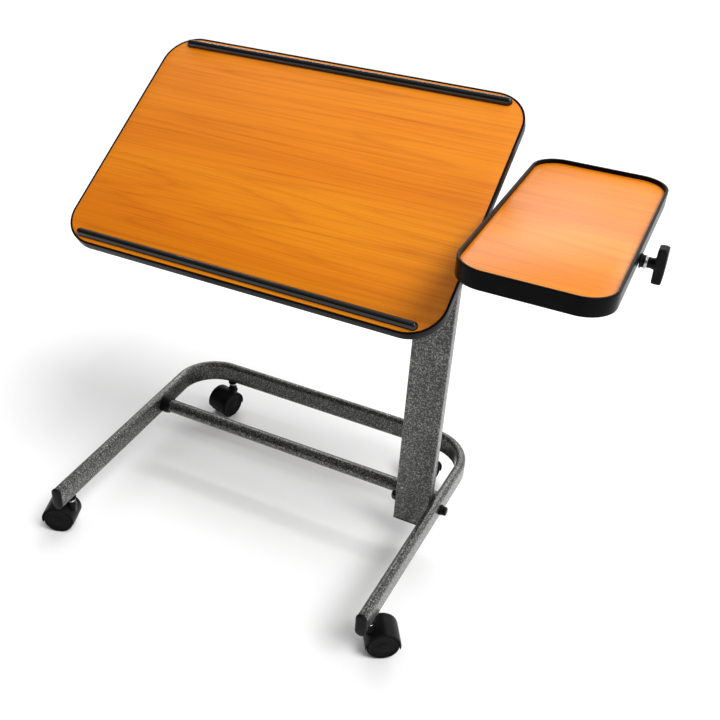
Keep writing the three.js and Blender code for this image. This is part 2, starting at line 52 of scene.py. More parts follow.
JOINTS = {joint["name"]: joint for joint in frame["record"]["behaviour"]["joints"]}
UP = (0, 0, 1)
RIGHT = (1, 0, 0)
REAR = (0, 1, 0)

WALL = 1.5
TUBE_WIDTH, TUBE_HEIGHT = 16, 40
LEG_X, LEG_TOE, LEG_LENGTH, BEND = 283.5, 0.0286, 445, 70
CROSSBAR_RADIUS = 12
MAST_WIDTH, MAST_DEPTH = 60, 20
INNER_WIDTH, INNER_DEPTH = 54, 14
REST_TILT = math.radians(33.7)
TOP_WIDTH, TOP_DEPTH, TOP_CORNER = 596, 400, 52
TOP_OFFSET, TOP_UNDERSIDE = 35, 25
BOARD_THICKNESS, BAND = 15, 3.3
RAIL_LENGTH, RAIL_INSET = 540, 15
TRAY_CORNER = 42
WHEEL_RADIUS = 25
HOOD_RADIUS, HOOD_WIDTH, HOOD_WALL = 27.5, 44, 1.6
HOOD_DROP, HOOD_STEPS = 0.22, 48
PLACES = ("front_left", "front_right", "rear_left", "rear_right")


# ---- Places --------------------------------------------------------------------------------------
def middle(node):
    low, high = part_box(node)
    return (low + high) / 2


def joint_at(name):
    return Vector(JOINTS[name]["pos_m"])


def stand(origin, z_axis=UP, y_axis=REAR):
    """Placement matrix with its Z along z_axis and its Y as near as can be to y_axis."""
    z = Vector(z_axis).normalized()
    x = Vector(y_axis).cross(z).normalized()
    y = z.cross(x)
    return Matrix.Translation(origin) @ Matrix((x, y, z)).transposed().to_4x4()


def along_x(origin):
    return stand(origin, RIGHT, UP)


# ---- Mesh making ---------------------------------------------------------------------------------
def eased(points, radius, steps=4, closed=False):
    """A 2-D outline with each of its corners rounded off."""
    result = []
    count = len(points)
    for i, point in enumerate(points):
        if not closed and i in (0, count - 1):
            result.append(tuple(point))
            continue
        corner = Vector(point)
        back = Vector(points[i - 1]) - corner
        ahead = Vector(points[(i + 1) % count]) - corner
        reach = min(radius, back.length * 0.45, ahead.length * 0.45)
        start = corner + back.normalized() * reach
        end = corner + ahead.normalized() * reach
        for step in range(steps + 1):
            t = step / steps
            q = start * (1 - t) ** 2 + corner * (2 * t * (1 - t)) + end * t ** 2
            result.append((q.x, q.y))
    return result


def rounded(width, depth, radius, steps=10):
    """Points of a rounded rectangle about the origin, counter-clockwise."""
    points = []
    for quarter, (sx, sy) in enumerate(((1, 1), (-1, 1), (-1, -1), (1, -1))):
        cx, cy = sx * (width / 2 - radius), sy * (depth / 2 - radius)
        for step in range(steps + 1):
            angle = math.pi / 2 * (quarter + step / steps)
            points.append((cx + radius * math.cos(angle), cy + radius * math.sin(angle)))
    return points


def loft(loops, ring=False, closed=True, into=None):
    """Joins loops of 3-D points into a skin; a ring closes on itself, otherwise its ends are capped."""
    bm = into or bmesh.new()
    rows = [[bm.verts.new(point) for point in loop] for loop in loops]
    pairs = list(zip(rows, rows[1:]))
    if ring:
        pairs.append((rows[-1], rows[0]))
    count = len(rows[0])
    for low, high in pairs:
        for i in range(count if closed else count - 1):
            j = (i + 1) % count
            bm.faces.new((low[i], low[j], high[j], high[i]))
    if not ring:
        bm.faces.new(list(reversed(rows[0])))
        bm.faces.new(rows[-1])
    return bm


def slab(width, depth, radius, profile, ring=False, steps=10, into=None):
    """A rounded plate: the profile lists how far its side is drawn in at each height."""
    loops = []
    for inset, height in profile:
        outline = rounded(width - 2 * inset, depth - 2 * inset, max(radius - inset, 0.05), steps)
        loops.append([(x, y, height) for x, y in outline])
    return loft(loops, ring, into=into)


def turned(profile, segments=56, ring=False, shift=(0, 0), into=None):
    """A lathe piece about Z from a profile of (radius, height)."""
    loops = []
    for radius, height in profile:
        loops.append([
            (shift[0] + max(radius, 0.02) * math.cos(2 * math.pi * i / segments),
             shift[1] + max(radius, 0.02) * math.sin(2 * math.pi * i / segments), height)
            for i in range(segments)])
    return loft(loops, ring, into=into)


def sector(profile, start, end, steps=40, into=None):
    """A closed profile of (radius, along) carried part of the way round the Z axis."""
    loops = []
    for i in range(steps + 1):
        angle = start + (end - start) * i / steps
        loops.append([(r * math.cos(angle), r * math.sin(angle), along) for r, along in profile])
    return loft(loops, into=into)


def rod(radius, start, end, ease=0.5, **options):
    return turned(eased([(0, start), (radius, start), (radius, end), (0, end)], ease), **options)


def pipe(outer, inner, start, end, ease=0.4, **options):
    corners = [(outer, start), (outer, end), (inner, end), (inner, start)]
    return turned(eased(corners, ease, closed=True), ring=True, **options)


def link_piece(name, data, material, body, nodes, place):
    piece = bpy.data.objects.new(name, data)
    bpy.context.scene.collection.objects.link(piece)
    data.materials.append(material)
    piece.matrix_world = place
    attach(piece, body)
    if nodes:
        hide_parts(*nodes)
    return piece


def make(name, bm, material, body, nodes, place, crease=38):
    """Turns a millimetre mesh into a piece that rides on a body and stands for CAD nodes."""
    bmesh.ops.remove_doubles(bm, verts=bm.verts, dist=0.001)
    bmesh.ops.recalc_face_normals(bm, faces=bm.faces)
    bmesh.ops.scale(bm, vec=(MM, MM, MM), verts=bm.verts)
    data = bpy.data.meshes.new(name)
    bm.to_mesh(data)
    bm.free()
    data.polygons.foreach_set("use_smooth", [True] * len(data.polygons))
    data.set_sharp_from_angle(angle=math.radians(crease))
    return link_piece(name, data, material, body, nodes, place)


def refined(node, name, material, body, width=0.5):
    """The CAD node's shape again, with its edges rounded, for plates and folded brackets."""
    data = frame["nodes"][node].data.copy()
    data.materials.clear()
    bm = bmesh.new()
    bm.from_mesh(data)
    bmesh.ops.remove_doubles(bm, verts=bm.verts, dist=1e-5)
    flat = math.radians(1)
    bmesh.ops.dissolve_limit(bm, angle_limit=flat, verts=bm.verts, edges=bm.edges)
    bm.to_mesh(data)
    bm.free()
    piece = link_piece(name, data, material, body, [node], Matrix.Identity(4))
    bevel = piece.modifiers.new("edges", "BEVEL")
    bevel.width = width * MM
    bevel.segments = 2
    bevel.limit_method = "ANGLE"
    bevel.angle_limit = math.radians(40)
    bevel.use_clamp_overlap = True
    data.polygons.foreach_set("use_smooth", [True] * len(data.polygons))
    data.set_sharp_from_angle(angle=math.radians(32))
    return piece


# ---- Materials -----------------------------------------------------------------------------------
class Recipe:
    """A material under construction: its Principled shader and the nodes that feed it."""

    def __init__(self, name, slot=None, **sockets):
        self.material = bpy.data.materials.new(name)
        self.material.use_nodes = True
        self.material["slot"] = slot or name
        self.tree = self.material.node_tree
        self.shader = self.tree.nodes["Principled BSDF"]
        for socket, value in sockets.items():
            self.shader.inputs[socket.replace("_", " ")].default_value = value
        self.place = self.node("ShaderNodeTexCoord").outputs["Object"]

    def node(self, kind, inputs=None, **settings):
        made = self.tree.nodes.new(kind)
        for setting, value in settings.items():
            setattr(made, setting, value)
        for socket, value in (inputs or {}).items():
            self.feed(value, made.inputs[socket])
        return made

    def feed(self, value, socket):
        if isinstance(value, bpy.types.NodeSocket):
            self.tree.links.new(value, socket)
        else:
            socket.default_value = value

    def stretched(self, scale, source=None):
        made = self.node("ShaderNodeMapping", {"Vector": source or self.place, "Scale": scale})
        return made.outputs["Vector"]

    def noise(self, scale, detail=2.0, source=None, roughness=0.5, distortion=0.0):
        made = self.node("ShaderNodeTexNoise", {
            "Vector": source or self.place, "Scale": scale, "Detail": detail,
            "Roughness": roughness, "Distortion": distortion})
        return made.outputs["Fac"]

    def math(self, operation, first, second=0.0):
        made = self.node("ShaderNodeMath", {0: first, 1: second}, operation=operation)
        return made.outputs[0]

    def ramp(self, source, stops):
        made = self.node("ShaderNodeValToRGB", {"Fac": source})
        band = made.color_ramp
        while len(band.elements) < len(stops):
            band.elements.new(0.5)
        for element, (position, colour) in zip(band.elements, stops):
            element.position = position
            element.color = (*colour, 1)
        return made.outputs["Color"]

    def spread(self, source, low, high):
        made = self.node("ShaderNodeMapRange", {"Value": source, "To Min": low, "To Max": high})
        return made.outputs["Result"]

    def mix(self, kind, amount, first, second):
        made = self.node("ShaderNodeMix", data_type="RGBA", blend_type=kind)
        self.feed(amount, made.inputs["Factor"])
        self.feed(first, made.inputs[6])
        self.feed(second, made.inputs[7])
        return made.outputs[2]

    def bump(self, height, strength, distance):
        made = self.node("ShaderNodeBump", {
            "Height": height, "Strength": strength, "Distance": distance * MM})
        self.feed(made.outputs["Normal"], self.shader.inputs["Normal"])

    def colour(self, source):
        self.feed(source, self.shader.inputs["Base Color"])
        return self

    def rough(self, source):
        self.feed(source, self.shader.inputs["Roughness"])
        return self


def grey(value):
    return (value, value, value)


def hammered_paint():
    """Charcoal powder coat with the light flecks and shallow dimples of a silver-vein finish."""
    r = Recipe("hammered_paint", Metallic=0.5, Coat_Weight=0.60, Coat_Roughness=0.20)
    warp = r.node("ShaderNodeTexNoise", {"Vector": r.place, "Scale": 170.0, "Detail": 2.0})
    pushed = r.node("ShaderNodeVectorMath", {0: warp.outputs["Color"], "Scale": 0.006}, operation="SCALE")
    moved = r.node("ShaderNodeVectorMath", {0: r.place, 1: pushed.outputs[0]}, operation="ADD")
    cells = r.node("ShaderNodeTexVoronoi", {"Vector": moved.outputs[0], "Scale": 430.0}, feature="SMOOTH_F1")
    fleck = r.ramp(cells.outputs["Distance"], [
        (0.08, (0.420, 0.420, 0.405)), (0.27, (0.150, 0.150, 0.144)),
        (0.46, (0.030, 0.030, 0.028)), (0.80, (0.012, 0.012, 0.011))])
    cloud = r.ramp(r.noise(26.0, 3.0), [(0.30, grey(0.78)), (0.70, grey(1.0))])
    r.colour(r.mix("MULTIPLY", 1.0, fleck, cloud))
    r.rough(r.spread(cells.outputs["Distance"], 0.30, 0.46))
    r.bump(r.math("ADD", cells.outputs["Distance"], r.noise(900.0, 2.0)), 0.30, 0.45)
    return r.material


def cherry_laminate():
    """Wood-grain laminate: cathedral figure and fine pores drawn out along X."""
    r = Recipe("cherry_laminate", Specular_IOR_Level=0.30)
    drift = r.noise(1.0, 2.0, r.stretched((0.9, 9.0, 9.0)))
    figure = r.noise(1.0, 1.5, r.stretched((0.8, 17.0, 17.0)), 0.5)
    rings = r.math("PINGPONG", r.math("MULTIPLY", figure, 24.0), 1.0)
    veins = r.ramp(rings, [(0.0, grey(1.0)), (0.16, grey(0.50)), (0.50, grey(0.12)), (1.0, grey(0.0))])
    fibres = r.noise(1.0, 4.0, r.stretched((6.0, 420.0, 420.0)), 0.6)
    ground = r.ramp(drift, [
        (0.30, (0.790, 0.205, 0.002)), (0.50, (0.865, 0.250, 0.003)), (0.72, (0.910, 0.300, 0.005))])
    lined = r.mix("MIX", r.math("MULTIPLY", veins, 0.34), ground, (0.590, 0.115, 0.002, 1))
    pores = r.ramp(fibres, [(0.32, (0.76, 0.64, 0.50)), (0.54, grey(1.0))])
    r.colour(r.mix("MULTIPLY", 0.60, lined, pores))
    r.rough(r.spread(fibres, 0.30, 0.40))
    r.bump(fibres, 0.06, 0.15)
    return r.material


def board_backer():
    """Brown backing sheet on the hidden face of the boards."""
    r = Recipe("board_backer", "cherry_laminate")
    r.colour(r.ramp(r.noise(240.0, 4.0), [(0.35, (0.082, 0.046, 0.024)), (0.65, (0.128, 0.076, 0.042))]))
    r.rough(r.spread(r.noise(60.0), 0.5, 0.7))
    r.bump(r.noise(900.0, 3.0), 0.2, 0.2)
    return r.material


def moulded(name, dark, light, low, high, grain, strength, gloss=0.25):
    """Black plastic with a slight mottle and the fine grain of its mould."""
    r = Recipe(name, Specular_IOR_Level=gloss)
    r.colour(r.ramp(r.noise(45.0, 3.0), [(0.30, grey(dark)), (0.70, grey(light))]))
    r.rough(r.spread(r.noise(120.0, 3.0), low, high))
    r.bump(r.noise(grain, 2.0), strength, 0.10)
    return r.material


def zinc_steel():
    """Bright plated steel with fine turning marks."""
    r = Recipe("zinc_steel", Metallic=1.0)
    marks = r.noise(1.0, 3.0, r.stretched((900.0, 900.0, 900.0)))
    r.colour(r.ramp(r.noise(70.0, 2.0), [(0.3, (0.50, 0.50, 0.50)), (0.7, (0.66, 0.66, 0.65))]))
    r.rough(r.spread(marks, 0.20, 0.36))
    r.bump(marks, 0.10, 0.05)
    return r.material


PAINT = hammered_paint()
LAMINATE = cherry_laminate()
BACKER = board_backer()
PLASTIC = moulded("black_plastic", 0.003, 0.007, 0.30, 0.42, 2200.0, 0.16, 0.09)
GLOSS = moulded("gloss_black", 0.002, 0.004, 0.08, 0.13, 600.0, 0.02, 0.5)
EDGING = moulded("edge_band", 0.002, 0.004, 0.24, 0.34, 1200.0, 0.08, 0.05)
TYRE = moulded("caster_wheel", 0.002, 0.005, 0.34, 0.48, 1500.0, 0.14, 0.06)
ZINC = zinc_steel()


# ---- Base ----------------------------------------------------------------------------------------
base_low, base_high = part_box("base_frame")
BAR = Vector((
    (base_low.x + base_high.x) / 2, base_high.y - TUBE_WIDTH / 2 * MM, (base_low.z + base_high.z) / 2))
LEG_TURN = math.atan(LEG_TOE)


def base_path(facets=28):
    """Centre line of the bent tube from the left leg's end to the right one's: (point, sideways)."""
    half = []
    centre = Vector((-LEG_X + BEND + LEG_TOE * BEND, -BEND, 0))
    for i in range(facets + 1):
        angle = math.pi / 2 + (math.pi / 2 + LEG_TURN) * (1 - i / facets)
        out = Vector((math.cos(angle), math.sin(angle), 0))
        half.append((centre + out * BEND, out))
    end = Vector((-(LEG_X - LEG_LENGTH * LEG_TOE), -LEG_LENGTH, 0))
    half.insert(0, (end, half[0][1].copy()))
    mirror = Vector((-1, 1, 1))
    return half + [(point * mirror, out * mirror) for point, out in reversed(half)]


def base_tube():
    """Flat-oval section, outside and inside, carried along the bent centre line."""
    def skin(inset, path):
        outline = rounded(TUBE_WIDTH - 2 * inset, TUBE_HEIGHT - 2 * inset, TUBE_WIDTH / 2 - inset - 0.02, 8)
        return [[point + out * across + Vector((0, 0, up)) for across, up in outline] for point, out in path]
    path = base_path()
    make("base_tube", loft(skin(0, path) + skin(WALL, path[::-1]), ring=True), PAINT, "base",
         ["base_frame"], Matrix.Translation(BAR))


def leg_caps():
    profile = [
        (2.4, -9), (2.4, 0.3), (0.7, 0.35), (0.1, 0.9), (0, 1.6), (0, 3.3), (0.5, 4.5), (1.7, 5.3),
        (3.4, 5.7)]
    for name, side in (("leg_cap_left", -1), ("leg_cap_right", 1)):
        ahead = Vector((-side * math.sin(LEG_TURN), -math.cos(LEG_TURN), 0))
        end = BAR + Vector((side * (LEG_X - LEG_LENGTH * LEG_TOE), -LEG_LENGTH, 0)) * MM
        make(name + "_plug", slab(17.2, 41.2, 8.5, profile), PLASTIC, "base", [name], stand(end, ahead, UP))


def crossbar():
    low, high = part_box("crossbar")
    axis = Vector((0, (low.y + high.y) / 2, (low.z + high.z) / 2))
    bar = pipe(CROSSBAR_RADIUS, CROSSBAR_RADIUS - WALL, low.x / MM, high.x / MM)
    make("crossbar_tube", bar, PAINT, "base", ["crossbar"], along_x(axis))
    low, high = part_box("crossbar_saddle")
    length = (high.x - low.x) / MM
    profile = eased([
        (15.5, 0), (15.5, length - 5), (14.2, length - 3.5), (14.2, length), (12.3, length), (12.3, 0)],
        0.9, closed=True)
    make("crossbar_fitting", turned(profile, ring=True), PLASTIC, "base", ["crossbar_saddle"],
         along_x(Vector((low.x, axis.y, axis.z))))


def tube_profile(height, wall=WALL):
    return eased([(0, 0), (0, height), (wall, height), (wall, 0)], 0.5, 3, closed=True)


def mast():
    """Outer mast with its foot plug and guide collar, and the bolt that holds it to the leg."""
    low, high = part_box("mast_outer")
    centre = middle("mast_outer")
    foot = Vector((centre.x, centre.y, low.z))
    height = (high.z - low.z) / MM
    tube = slab(MAST_WIDTH, MAST_DEPTH, 2.6, tube_profile(height), ring=True, steps=5)
    make("mast_tube", tube, PAINT, "base", ["mast_outer"], stand(foot))
    plug = [(3, 10), (1.8, 0.2), (0.2, 0.0), (0, -0.6), (0, -2.0), (0.6, -2.7), (1.6, -2.9)]
    make("mast_foot", slab(MAST_WIDTH + 0.4, MAST_DEPTH + 0.4, 2.8, plug, steps=5), PLASTIC, "base",
         ["mast_foot_plug"], stand(foot))
    collar = eased([
        (1.8, -18), (1.8, 0.3), (0, 0.3), (0, 3.2), (1.1, 4.3), (4.15, 4.3), (4.15, -18)], 0.6, closed=True)
    guide = slab(MAST_WIDTH + 3, MAST_DEPTH + 3, 4.2, collar, ring=True, steps=6)
    make("mast_collar", guide, PLASTIC, "base", ["mast_guide_collar"],
         stand(Vector((centre.x, centre.y, high.z))))
    bolt = middle("mast_bolt")
    low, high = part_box("mast_bolt")
    length = (high.x - low.x) / MM
    make("mast_bolt_shank", rod(4, 0, length), ZINC, "base", ["mast_bolt"],
         along_x(Vector((low.x, bolt.y, bolt.z))))
    head = eased([(9.8, 0.2), (9.8, 3.0), (8.9, 6.2), (5.6, 8.5), (0, 9.1)], 1.6)
    make("mast_bolt_head", turned([(0, 0.2)] + head), GLOSS, "base", ["mast_bolt_cap"],
         stand(Vector((centre.x - MAST_WIDTH / 2 * MM, bolt.y, bolt.z)), (-1, 0, 0), UP))
    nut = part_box("mast_bolt_nut")[0].x
    cap = eased([(8.5, 0), (8.5, 3.2), (7.4, 3.8), (7.4, 9.2), (5.6, 11), (0, 11)], 0.9)
    make("mast_bolt_acorn", turned([(0, 0)] + cap), PLASTIC, "base", ["mast_bolt_nut"],
         along_x(Vector((nut, bolt.y, bolt.z))))


def lobed(radius, lobes, depth_profile, steps=12, into=None):
    """A hand knob: a lobed outline drawn in or out along its axis."""
    loops = []
    count = lobes * steps
    for inset, height in depth_profile:
        loop = []
        for i in range(count):
            angle = 2 * math.pi * i / count
            reach = (radius - inset) * (0.93 + 0.07 * math.cos(lobes * angle))
            loop.append((reach * math.cos(angle), reach * math.sin(angle), height))
        loops.append(loop)
    return loft(loops, into=into)


def height_clamp():
    """Hand screw in its welded nut on the rear of the mast."""
    axis = joint_at("height_clamp_turn")
    low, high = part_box("height_clamp_nut")
    nut = Vector((axis.x, low.y, axis.z))
    depth = (high.y - low.y) / MM
    profile = eased([(8.0, 0), (8.0, depth), (3.7, depth), (3.7, 0)], 0.8, closed=True)
    make("height_clamp_boss", turned(profile, 6, ring=True), PAINT, "base", ["height_clamp_nut"],
         stand(nut, REAR, UP))
    low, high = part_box("height_knob_screw")
    make("height_clamp_screw", rod(3, 0, (high.y - low.y) / MM), ZINC, "height_clamp",
         ["height_knob_screw"], stand(Vector((axis.x, low.y, axis.z)), REAR, UP))
    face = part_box("height_knob")[0].y
    knob = lobed(16, 6, [
        (10, 2.6), (1.6, 2.8), (0.3, 4.0), (0, 6.0), (0, 13.6), (0.6, 15.6), (2.4, 16.8), (7, 16.9),
        (12, 16.2)])
    turned(eased([(0, 0), (8, 0), (9, 3), (0, 3)], 0.6), into=knob)
    make("height_clamp_knob", knob, PLASTIC, "height_clamp", ["height_knob"],
         stand(Vector((axis.x, face, axis.z)), REAR, UP))


# ---- Lift ----------------------------------------------------------------------------------------
def lift():
    low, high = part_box("mast_inner")
    centre = middle("mast_inner")
    height = (high.z - low.z) / MM
    tube = slab(INNER_WIDTH, INNER_DEPTH, 2.1, tube_profile(height), ring=True, steps=5)
    make("mast_inner_tube", tube, PAINT, "lift", ["mast_inner"],
         stand(Vector((centre.x, centre.y, low.z))))
    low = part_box("mast_inner_glide")[0]
    glide = eased([(0, 0), (0, 10), (2.6, 10.6), (2.6, 28)], 0.7)
    make("mast_inner_foot", slab(INNER_WIDTH + 2, INNER_DEPTH + 2, 1.6, glide, steps=5), PLASTIC, "lift",
         ["mast_inner_glide"], stand(Vector((centre.x, centre.y, low.z))))
    refined("head_bracket", "head_casting", PAINT, "lift", 0.8)
    refined("tray_bracket", "tray_cradle", PAINT, "lift", 0.4)
    low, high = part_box("pivot_tube")
    axis = Vector((low.x, (low.y + high.y) / 2, (low.z + high.z) / 2))
    length = (high.x - low.x) / MM
    make("pivot_rod", pipe(8, 6.5, 0, length), ZINC, "lift", ["pivot_tube"], along_x(axis))
    for name, end, way in (("pivot_end_left", 0, -1), ("pivot_end_right", length, 1)):
        plug = eased([(0, -4), (6.2, -4), (6.2, 0.2), (8, 0.2), (8, 1.4), (5.4, 2.5), (0, 2.7)], 0.5)
        make(name, turned(plug), PLASTIC, "lift", [], stand(axis + Vector((end * MM, 0, 0)), (way, 0, 0), UP))


def board(name, node, width, depth, radius, thickness, body, place):
    profile = [
        (0.7, 0), (0.2, 0.2), (0, 0.7), (0, thickness - 0.5), (0.15, thickness - 0.15), (0.5, thickness)]
    piece = make(name, slab(width, depth, radius, profile, steps=16), LAMINATE, body, [node], place)
    piece.data.materials.append(BACKER)
    for face in piece.data.polygons:
        face.material_index = 1 if face.normal.z < -0.5 else 0


def tray():
    centre = middle("tray_rim")
    low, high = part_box("tray_rim")
    width, depth = (high.x - low.x) / MM, (high.y - low.y) / MM
    foot = Vector((centre.x, centre.y, low.z))
    height = (high.z - low.z) / MM
    seat = (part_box("tray_board")[0].z - low.z) / MM
    section = eased([
        (0, 0), (0, height), (4, height), (4, seat - 0.3), (9, seat - 0.3), (9, seat - 1.9),
        (2.6, seat - 1.9), (2.6, 0)], 1.7, 5, closed=True)
    make("tray_moulding", slab(width, depth, TRAY_CORNER, section, ring=True, steps=18), EDGING, "lift",
         ["tray_rim"], stand(foot))
    low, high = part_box("tray_board")
    board("tray_panel", "tray_board", (high.x - low.x) / MM, (high.y - low.y) / MM, TRAY_CORNER - 4.3,
          (high.z - low.z) / MM, "lift", stand(Vector((centre.x, centre.y, low.z))))


# ---- Main top ------------------------------------------------------------------------------------
def main_top():
    """The tilting board with its edge moulding and book rails, in the board's own plane."""
    pivot = joint_at("top_tilt")
    middle_x = middle("top_board").x
    plane = Matrix.Translation((middle_x, pivot.y, pivot.z)) @ Matrix.Rotation(REST_TILT, 4, "X")
    seat = plane @ Matrix.Translation((0, TOP_OFFSET * MM, TOP_UNDERSIDE * MM))
    board("top_panel", "top_board", TOP_WIDTH - 2 * BAND, TOP_DEPTH - 2 * BAND, TOP_CORNER - BAND,
          BOARD_THICKNESS, "main_top", seat)
    section = eased([(0, -0.4), (0, 15.4), (3.1, 15.5), (3.1, -0.4)], 1.5, 5, closed=True)
    make("top_moulding", slab(TOP_WIDTH, TOP_DEPTH, TOP_CORNER, section, ring=True, steps=18), EDGING,
         "main_top", ["top_edge_band"], seat)
    for name, side in (("top_rail_front", -1), ("top_rail_rear", 1)):
        across = side * (TOP_DEPTH / 2 - RAIL_INSET)
        place = seat @ Matrix.Translation((0, across * MM, (BOARD_THICKNESS + 0.3) * MM))
        make(name.replace("rail", "book_rail"), book_rail(RAIL_LENGTH, 13, 8), GLOSS, "main_top", [name],
             place, 50)
    refined("top_bracket", "top_channel", PAINT, "main_top", 0.4)


def book_rail(length, width, height):
    """Half-round bar with rounded ends and a small foot along each side."""
    section = [(-0.5, 0), (-0.5, 0.14), (-0.46, 0.40), (-0.36, 0.70), (-0.20, 0.93), (0, 1.0),
               (0.20, 0.93), (0.36, 0.70), (0.46, 0.40), (0.5, 0.14), (0.5, 0)]
    section = eased(section, 1, 2)
    reach = width / 2
    left = []
    for i in range(11):
        angle = i / 10 * math.pi / 2
        left.append((-length / 2 + reach * (1 - math.cos(angle)), max(math.sin(angle), 0.06)))
    loops = []
    for x, scale in left + [(-x, scale) for x, scale in reversed(left)]:
        rise = height * (0.35 + 0.65 * scale)
        loops.append([(x, across * width * scale, up * rise) for across, up in section])
    return loft(loops)


# ---- Tilt clamp ----------------------------------------------------------------------------------
def tilt_clamp():
    """Long clamp screw with its washer, bush and T-handle at the tray's right side."""
    axis = joint_at("tilt_clamp_turn")
    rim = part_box("tray_rim")[1].x
    spot = Vector((rim, axis.y, axis.z))
    bush = eased([(4.4, 0.3), (9.4, 0.3), (9.4, 1.8), (8, 3), (8, 6), (4.4, 6)], 0.5, closed=True)
    make("clamp_bush", turned(bush, ring=True), PLASTIC, "lift", ["clamp_bushing"], along_x(spot))
    low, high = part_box("clamp_screw")
    screw = rod(4, 0, (high.x - low.x) / MM, 0.8)
    make("clamp_rod", screw, ZINC, "tilt_clamp", ["clamp_screw"], along_x(Vector((low.x, axis.y, axis.z))))
    washer = pipe(9.5, 4.3, 6.35, 8.0, 0.35)
    turned(eased([(4.3, 8), (7.4, 8), (7.4, 9.6), (4.3, 9.6)], 0.3, closed=True), ring=True, into=washer)
    make("clamp_ring", washer, ZINC, "tilt_clamp", ["clamp_washer"], along_x(spot))
    hub_profile = [(4.4, 9.7), (7.2, 9.7), (6.6, 14), (8.2, 20), (8.2, 29), (4.4, 29)]
    hub = turned(eased(hub_profile, 1.5, closed=True), ring=True)
    wing(hub)
    make("clamp_t_handle", hub, PLASTIC, "tilt_clamp", ["clamp_handle"],
         along_x(spot) @ Matrix.Rotation(0.14, 4, "Z"), 30)


def wing(into):
    """The cross bar of the T-handle: thick at the hub, flatter and wider towards its ends."""
    loops = []
    half = 26
    for i in range(25):
        t = -1 + 2 * i / 24
        close = max(1 - abs(t) ** 30, 0.0) ** 0.5
        broad = (16.0 + 1.4 * t * t) * (0.66 + 0.34 * close)
        thick = (13.2 - 1.2 * t * t) * (0.60 + 0.40 * close)
        outline = rounded(broad, thick, min(broad, thick) * 0.24, 5)
        loops.append([(across, half * t, 25.0 + out) for across, out in outline])
    loft(loops, into=into)


# ---- Casters -------------------------------------------------------------------------------------
def caster(place):
    """One hooded twin-wheel caster with its grip stem and socket."""
    swivel = joint_at(place + "_swivel")
    axle = joint_at(place + "_roll")
    side = Vector(JOINTS[place + "_roll"]["axis"])
    body, node = "caster_" + place, "caster_" + place + "_"
    floor = Vector((swivel.x, swivel.y, 0))
    collar = eased([(4.35, 61), (8.5, 61), (8.5, 63.7), (6.2, 64.2), (6.2, 96), (4.35, 96)], 0.5, closed=True)
    make(node + "insert", turned(collar, 40, ring=True), PLASTIC, "base", [node + "socket"], stand(floor))
    stem = eased([
        (0, 34), (4, 34), (4, 56.4), (6.6, 56.4), (6.6, 57.6), (5.4, 58.4), (5.4, 59.6), (4, 60), (4, 93),
        (0, 94)], 0.5)
    make(node + "grip_stem", turned(stem, 40), ZINC, body, [node + "stem"], stand(floor))
    hood(node, body, stand(axle, side, UP), floor, axle)
    make(node + "axle_pin", rod(3, -19, 19), ZINC, body, [node + "axle"], stand(axle, side, UP))
    for name, way in (("wheel_a", 1), ("wheel_b", -1)):
        make(node + name + "_tread", wheel(), TYRE, "wheels_" + place, [node + name],
             stand(axle, side * way, UP))


def hood(node, body, spot, floor, axle):
    """Drum-shaped hood over both wheels, drawn thin towards its lower ends, and the neck for the stem."""
    loops = []
    for i in range(HOOD_STEPS + 1):
        angle = (math.pi + 2 * HOOD_DROP) * i / HOOD_STEPS - HOOD_DROP
        body_share = math.sin(math.pi * i / HOOD_STEPS) ** 0.4
        reach = HOOD_RADIUS - 1.0 * (1 - body_share)
        inner = reach - 0.8 - (HOOD_WALL - 0.8) * body_share
        half = HOOD_WIDTH / 2 - 1.6 * (1 - body_share)
        section = [(reach - 0.5, -half), (reach, 2.6 - half), (reach, half - 2.6), (reach - 0.5, half),
                   (inner, half), (inner, -half)]
        section = eased(section, 0.6, 3, closed=True)
        loops.append([(r * math.cos(angle), r * math.sin(angle), along) for r, along in section])
    shell = loft(loops)
    web = eased([(3.6, -5), (26.6, -5), (26.6, 5), (3.6, 5)], 0.4, 2, closed=True)
    sector(web, -0.2, math.pi + 0.2, into=shell)
    make(node + "cover", shell, PLASTIC, body, [node + "hood"], spot)
    trail = (axle - floor).xy.normalized()
    neck = []
    for wide, deep, corner, height, shift in (
            (15, 11, 3, 27, 1.5), (16, 14, 4, 38, 1.5), (17, 19, 6, 46, 1.2), (14.6, 15.4, 7, 50, 0.3),
            (13.6, 13.6, 6.7, 53, 0), (13, 13, 6.4, 56, 0)):
        neck.append([(x + shift, y, height) for x, y in rounded(wide, deep, corner, 7)])
    make(node + "neck", loft(neck), PLASTIC, body, [], stand(floor, UP, Vector((-trail.y, trail.x, 0))))


def wheel():
    """Tread with rounded shoulders, a dished face and a domed hub."""
    near, far = 5.5, 20.4
    profile = [
        (0, 19.2), (3.3, 19.2), (3.3, near), (22.6, near), (24.6, near + 1.4), (WHEEL_RADIUS, near + 3.2),
        (WHEEL_RADIUS, far - 2.8), (24.3, far - 0.7), (22.8, far), (20.6, far - 0.2), (19.8, far - 1.1),
        (9.0, far - 1.2), (7.6, far - 0.5), (0, far - 0.4)]
    return turned(eased(profile, 0.9, 4), 72)


# ---- Small fasteners -----------------------------------------------------------------------------
def screw_head(name, body, place, radius=4.2):
    """Pan-head screw with a round recess."""
    head = eased([
        (0, -6), (1.8, -6), (1.8, 0), (radius, 0), (radius, 1.2), (radius * 0.62, 2.6), (radius * 0.50, 2.6)],
        0.5)
    bm = turned(head + [(radius * 0.46, 1.2), (0, 1.1)], 36)
    make(name, bm, ZINC, body, [], place)


